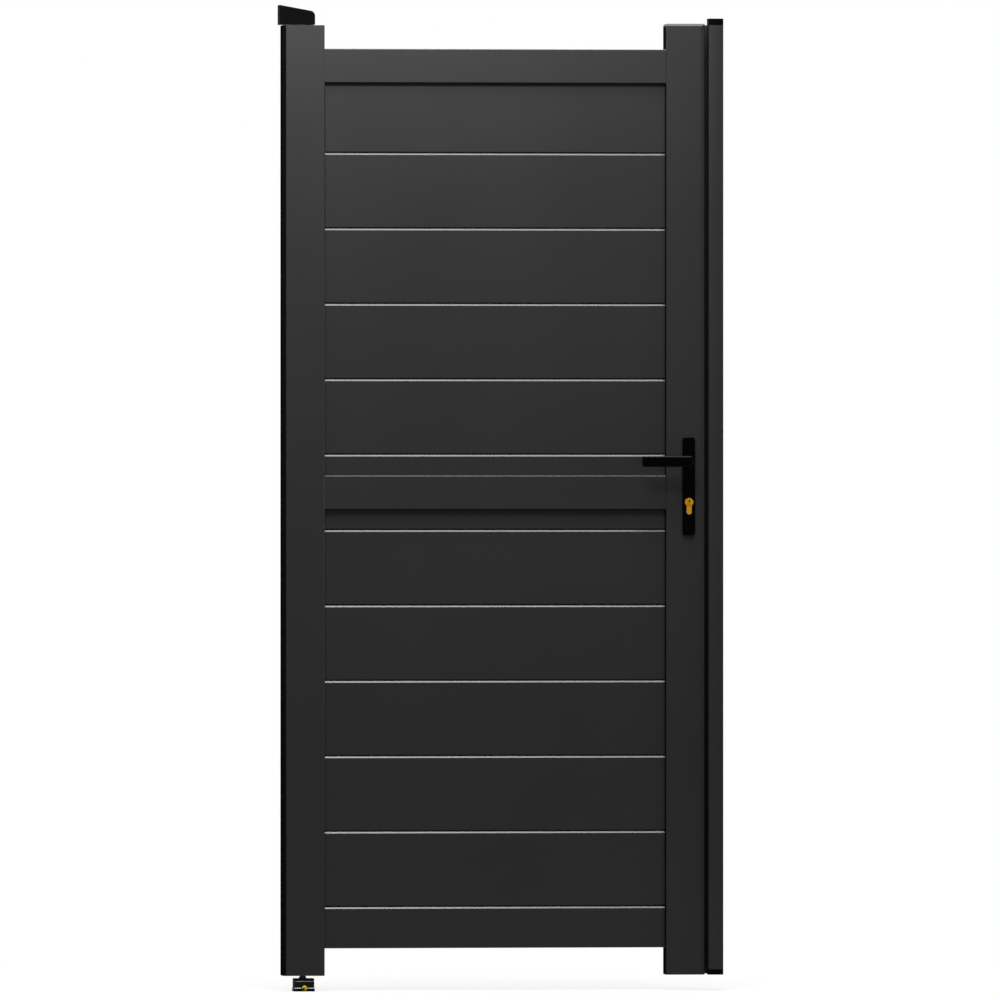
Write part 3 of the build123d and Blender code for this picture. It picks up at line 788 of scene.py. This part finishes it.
@dataclass
class BoardGaskets:
    """Black rubber beside the boards, under the rails and over the open ends of the stiles' slots."""

    hinge_side_m: float = 0.0415
    lock_side_m: float = 0.7255
    board_face_m: float = 0.010
    outer_face_m: float = 0.0238
    thickness_m: float = 0.001
    lip_radius_m: float = 0.00035
    lip_segments: int = 3
    spans_m: tuple[Range, ...] = ((0.0852, 0.9585), (1.0255, 1.807))
    rail_face_m: float = 0.0218
    cover_thickness_m: float = 0.0003
    cover_lip_m: float = 0.0001
    end_spans_m: tuple[Range, ...] = ((0.032, 0.0842), (1.8755, 1.9195))

    def build(self, wardrobe: Wardrobe) -> None:
        """Line the stiles, then the rails, and cover the slots' ends.

        Args:
            wardrobe: Gives the rubber its finish and its body.
        """
        self.line_stiles(wardrobe)
        self.line_rails(wardrobe)
        self.cover_slots(wardrobe)

    def lines(self, half: float) -> dict[str, float]:
        """Middle of the rubber on each stile's inner side.

        Args:
            half: Half the rubber's thickness.

        Returns:
            Place across the gate, by the stile's name.
        """
        return {"hinge": self.hinge_side_m + half, "lock": self.lock_side_m - half}

    def cover_slots(self, wardrobe: Wardrobe) -> None:
        """Model a cover for each end of the stiles' slots and copy it to both stiles.

        Args:
            wardrobe: Gives the rubber its finish and its body.
        """
        half = self.cover_thickness_m / 2
        reach = self.outer_face_m
        for part, (low, high) in zip(("foot", "head"), self.end_spans_m):
            cover = Workpiece.sawn("cover", (-half, -reach, low), (half, reach, high))
            cover.pick(Pick.EDGE, lambda spot, run: abs(run.z) > reach)
            cover.round_off(self.cover_lip_m, self.lip_segments)
            places = {
                f"slot_cover_{side}_{part}": ((line, 0.0, 0.0), Facing.UP)
                for side, line in self.lines(half).items()
            }
            for piece in cover.set_out(places):
                wardrobe.fit(piece, "leaf", Slot.SEAL_RUBBER)

    def line_rails(self, wardrobe: Wardrobe) -> None:
        """Model one length and copy it below both rails, on both faces.

        Args:
            wardrobe: Gives the rubber its finish and its body.
        """
        half = self.thickness_m / 2
        row = (self.board_face_m + self.rail_face_m) / 2
        reach = (self.rail_face_m - self.board_face_m) / 2
        left = self.hinge_side_m + self.thickness_m
        right = self.lock_side_m - self.thickness_m
        strip = Workpiece.sawn("gasket", (left, -reach, -half), (right, reach, half))
        strip.pick(Pick.EDGE, lambda spot, run: abs(run.x) > reach)
        strip.round_off(self.lip_radius_m, self.lip_segments)
        places = {
            f"gasket_{rail}_rail_{face}": ((0.0, out * row, bottom - half), Facing.UP)
            for rail, (_, bottom) in zip(("mid", "top"), self.spans_m)
            for face, out in (("front", -1), ("back", 1))
        }
        for piece in strip.set_out(places):
            wardrobe.fit(piece, "leaf", Slot.SEAL_RUBBER)

    def line_stiles(self, wardrobe: Wardrobe) -> None:
        """Model each length once and copy it to both stiles and both faces.

        Args:
            wardrobe: Gives the rubber its finish and its body.
        """
        half = self.thickness_m / 2
        row = (self.board_face_m + self.outer_face_m) / 2
        reach = (self.outer_face_m - self.board_face_m) / 2
        for part, (low, high) in zip(("low", "high"), self.spans_m):
            strip = Workpiece.sawn("gasket", (-half, -reach, low), (half, reach, high))
            strip.pick(Pick.EDGE, lambda spot, run: abs(run.z) > reach)
            strip.round_off(self.lip_radius_m, self.lip_segments)
            places = {
                f"gasket_{side}_{face}_{part}": ((line, out * row, 0.0), Facing.UP)
                for side, line in self.lines(half).items()
                for face, out in (("front", -1), ("back", 1))
            }
            for piece in strip.set_out(places):
                wardrobe.fit(piece, "leaf", Slot.SEAL_RUBBER)


@dataclass
class HingeSideBlackStrip:
    """A thin black strip on the hinge stile's outer side, led round its cut corner, which makes that side
    and corner dark.
    """

    side_m: float = -0.0415
    thickness_m: float = 0.0005
    corner_start_m: float = -0.0185
    corner_cut_m: float = 0.0065
    back_m: float = 0.024
    foot_m: float = 0.032
    top_m: float = 1.920
    lip_radius_m: float = 0.0002
    lip_segments: int = 2

    def build(self, wardrobe: Wardrobe) -> None:
        """Lay the strip on the side, lead it along the cut corner and round its outer lip.

        Args:
            wardrobe: Gives the strip its finish and its body.
        """
        low = (self.side_m - self.thickness_m, self.corner_start_m, self.foot_m)
        strip = Workpiece.sawn("swing_seal", low, (self.side_m, self.back_m, self.top_m))
        strip.pick(Pick.FACE, lambda spot, normal: normal.y < -FLAT)
        lead = (self.corner_cut_m, -self.corner_cut_m, 0.0)
        bpy.ops.mesh.extrude_region_move(TRANSFORM_OT_translate={"value": lead})
        bpy.ops.object.mode_set(mode="OBJECT")
        back = self.back_m
        strip.pick(Pick.EDGE, lambda spot, run: abs(run.z) > back and abs(spot.y - back) < HAIR)
        strip.round_off(self.lip_radius_m, self.lip_segments)
        for piece in strip.set_out({"swing_edging": ((0.0, 0.0, 0.0), Facing.UP)}):
            wardrobe.fit(piece, "leaf", Slot.SEAL_RUBBER)


@dataclass(frozen=True)
class Softbox:
    """One rectangular lamp, as bright all over as its radiance says."""

    name: str
    place: Point
    aim: Point
    width_m: float
    height_m: float
    radiance: float

    def hang(self) -> None:
        """Add the lamp to the scene, facing its aim."""
        data = bpy.data.lights.new(self.name, "AREA")
        data.shape = "RECTANGLE"
        data.size = self.width_m
        data.size_y = self.height_m
        data.energy = math.pi * self.radiance * self.width_m * self.height_m
        lamp = bpy.data.objects.new(self.name, data)
        lamp.location = self.place
        lamp.rotation_mode = "QUATERNION"
        lamp.rotation_quaternion = (Vector(self.aim) - Vector(self.place)).to_track_quat("-Z", "Y")
        bpy.context.scene.collection.objects.link(lamp)


@dataclass
class Studio:
    """White floor and world, soft light from above and in front, and the photograph's camera."""

    lens_mm: float = 600.0
    sensor_mm: float = 36.0
    sight_m: float = 200.0
    distance_m: float = 33.17
    azimuth_deg: float = -6.3
    eye_height_m: float = 1.0437
    aim: Point = (0.39235, -0.025, 0.9770)
    floor_middle: Point = (0.4, 0.0, 0.0)
    floor_half_m: float = 6.0
    floor_tone: float = 0.2
    floor_bounce: float = 0.12
    floor_lift: float = 0.8
    shade_reach_m: Range = (0.8, 2.2)
    front_wall: float = 0.147
    front_wall_turn_deg: float = -12.0
    wall_spread: Range = (0.8, 0.98)
    side_wall_share: float = 0.6
    side_wall_slope: Range = (0.4, 0.8)
    panel_spread: Range = (0.995, 0.999)
    surround: float = 0.006

    def softboxes(self) -> list[Softbox]:
        """Lamps above and before each face of the gate, with the photograph's side the brighter.

        Returns:
            The lamps, in the order in which they are hung.
        """
        return [
            Softbox("top_front", (0.2, -2.4, 7.5), (0.3, 0.0, 1.0), 4.0, 4.4, 8.5),
            Softbox("high_front", (0.2, -1.9, 2.8), (0.3, 0.0, 1.2), 1.0, 0.5, 15.5),
            Softbox("right_side", (3.0, -0.8, 1.2), (0.5, 0.0, 0.9), 0.5, 1.2, 4.0),
            Softbox("left_back", (-2.6, 1.6, 2.2), (0.2, -0.2, 1.0), 1.2, 1.6, 4.0),
            Softbox("top_back", (0.6, 0.9, 3.0), (0.6, 0.9, 0.0), 2.0, 1.5, 2.5),
            Softbox("high_back", (0.6, 2.2, 3.15), (0.5, 0.0, 1.2), 1.6, 0.7, 8.0),
        ]

    def walls(self, graph: Graph, way: Any, gloss: Socket) -> Socket:
        """Share of the grey wall that a direction meets.

        Args:
            graph: Where the nodes go.
            way: The direction.
            gloss: 1 for rays off a glossy surface, which also meet fainter walls all round.

        Returns:
            The share, from 0 to 1.
        """
        turn = math.radians(self.front_wall_turn_deg)
        before = graph.between(graph.dot(way, (math.sin(turn), -math.cos(turn), 0.0)), *self.wall_spread)
        slope = graph.size(graph.dot(way, UPWARDS))
        around = gloss * self.side_wall_share * (1 - graph.between(slope, *self.side_wall_slope))
        return graph.maths("MAXIMUM", before, around)

    def camera(self) -> None:
        """Stand the camera where the photograph was taken, aimed at the picture's centre."""
        turn = math.radians(self.azimuth_deg)
        aim = Vector(self.aim)
        away = Vector((math.sin(turn), -math.cos(turn), 0.0)) * self.distance_m
        place = Vector((aim.x + away.x, aim.y + away.y, self.eye_height_m))
        data = bpy.data.cameras.new("camera")
        data.lens = self.lens_mm
        data.sensor_width = self.sensor_mm
        data.clip_end = self.sight_m
        eye = bpy.data.objects.new("camera", data)
        eye.location = place
        eye.rotation_mode = "QUATERNION"
        eye.rotation_quaternion = (aim - place).to_track_quat("-Z", "Y")
        bpy.context.scene.collection.objects.link(eye)
        bpy.context.scene.camera = eye

    def world(self) -> None:
        """White to the camera; for gloss, a white panel straight behind and grey walls all round."""
        made = bpy.data.worlds.new("studio")
        made.use_nodes = True
        graph = Graph(made.node_tree)
        ray = graph.node("ShaderNodeLightPath")
        way = graph.node("ShaderNodeTexCoord").outputs["Generated"]
        turn = math.radians(self.azimuth_deg)
        backdrop = (-math.sin(turn), math.cos(turn), 0.0)
        behind = graph.between(graph.dot(way, backdrop), *self.panel_spread)
        gloss = Socket(graph, ray.outputs["Is Glossy Ray"]) + ray.outputs["Is Transmission Ray"]
        white = graph.maths("MAXIMUM", ray.outputs["Is Camera Ray"], gloss * behind)
        wall = graph.mix(self.walls(graph, way, gloss), (self.surround,) * 3, (self.front_wall,) * 3)
        colour = graph.mix(white, wall, WHITE)
        sky = graph.node("ShaderNodeBackground", None, {"Color": colour})
        graph.node("ShaderNodeOutputWorld", None, {"Surface": sky.outputs[0]})
        bpy.context.scene.world = made

    def floor(self) -> None:
        """Pale floor that keeps the gate's shadow near its foot and is plain white further out."""
        bpy.ops.mesh.primitive_plane_add(size=2 * self.floor_half_m, location=self.floor_middle)
        ground = bpy.context.object
        ground.name = "floor"
        made = bpy.data.materials.new("pale_floor")
        made.use_nodes = True
        graph = Graph(made.node_tree)
        ray = graph.node("ShaderNodeLightPath")
        eye = Socket(graph, ray.outputs["Is Camera Ray"])
        gloss = graph.maths("MAXIMUM", ray.outputs["Is Glossy Ray"], ray.outputs["Is Transmission Ray"])
        seen = graph.maths("MAXIMUM", eye, gloss)
        reach = graph.node("ShaderNodeVectorMath", {"operation": "LENGTH"}, {0: graph.place()})
        far = graph.between(reach.outputs["Value"], *self.shade_reach_m)
        tone = graph.mix(seen, (self.floor_bounce,) * 3, (self.floor_tone,) * 3)
        tone = graph.mix(far, tone, BLACK)
        matt = graph.node("ShaderNodeBsdfDiffuse", None, {"Color": tone})
        bearing = graph.node("ShaderNodeVectorMath", {"operation": "NORMALIZE"}, {0: graph.place()})
        share = gloss * far * self.walls(graph, bearing.outputs[0], gloss)
        mirrored = graph.mix(share, BLACK, (self.front_wall,) * 3)
        lit = graph.mix(far, (self.floor_lift,) * 3, WHITE)
        glow = graph.mix(eye, mirrored, lit)
        lift = graph.node("ShaderNodeEmission", None, {"Color": glow})
        both = graph.node("ShaderNodeAddShader", None, {0: matt.outputs[0], 1: lift.outputs[0]})
        graph.node("ShaderNodeOutputMaterial", None, {"Surface": both.outputs[0]})
        ground.data.materials.append(made)

    def build(self) -> None:
        """Set up the whole studio."""
        self.world()
        self.floor()
        for softbox in self.softboxes():
            softbox.hang()
        self.camera()
        bpy.context.scene.view_settings.view_transform = "Standard"


def main() -> None:
    """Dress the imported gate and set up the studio."""
    logging.basicConfig(level=logging.INFO, format="%(name)s: %(message)s")
    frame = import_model()
    bpy.ops.object.select_all(action="DESELECT")
    wardrobe = Wardrobe.stocked()
    for row in frame["record"]["subparts"]:
        wardrobe.dress(frame["nodes"][row["node"]], row["material_slot"])
        LOG.info("dressed %s in %s", row["node"], row["material_slot"])
    wardrobe.dress(frame["nodes"]["floor_pivot_body"], PIVOT_CASTING.name)
    sets = (PivotAdjuster(), StrikeAnchors(), LockScrews(), KeywayShutters(), BoardGaskets(), HingeSideBlackStrip())
    for fittings in sets:
        fittings.build(wardrobe)
    Studio().build()


if __name__ == "__main__":
    main()
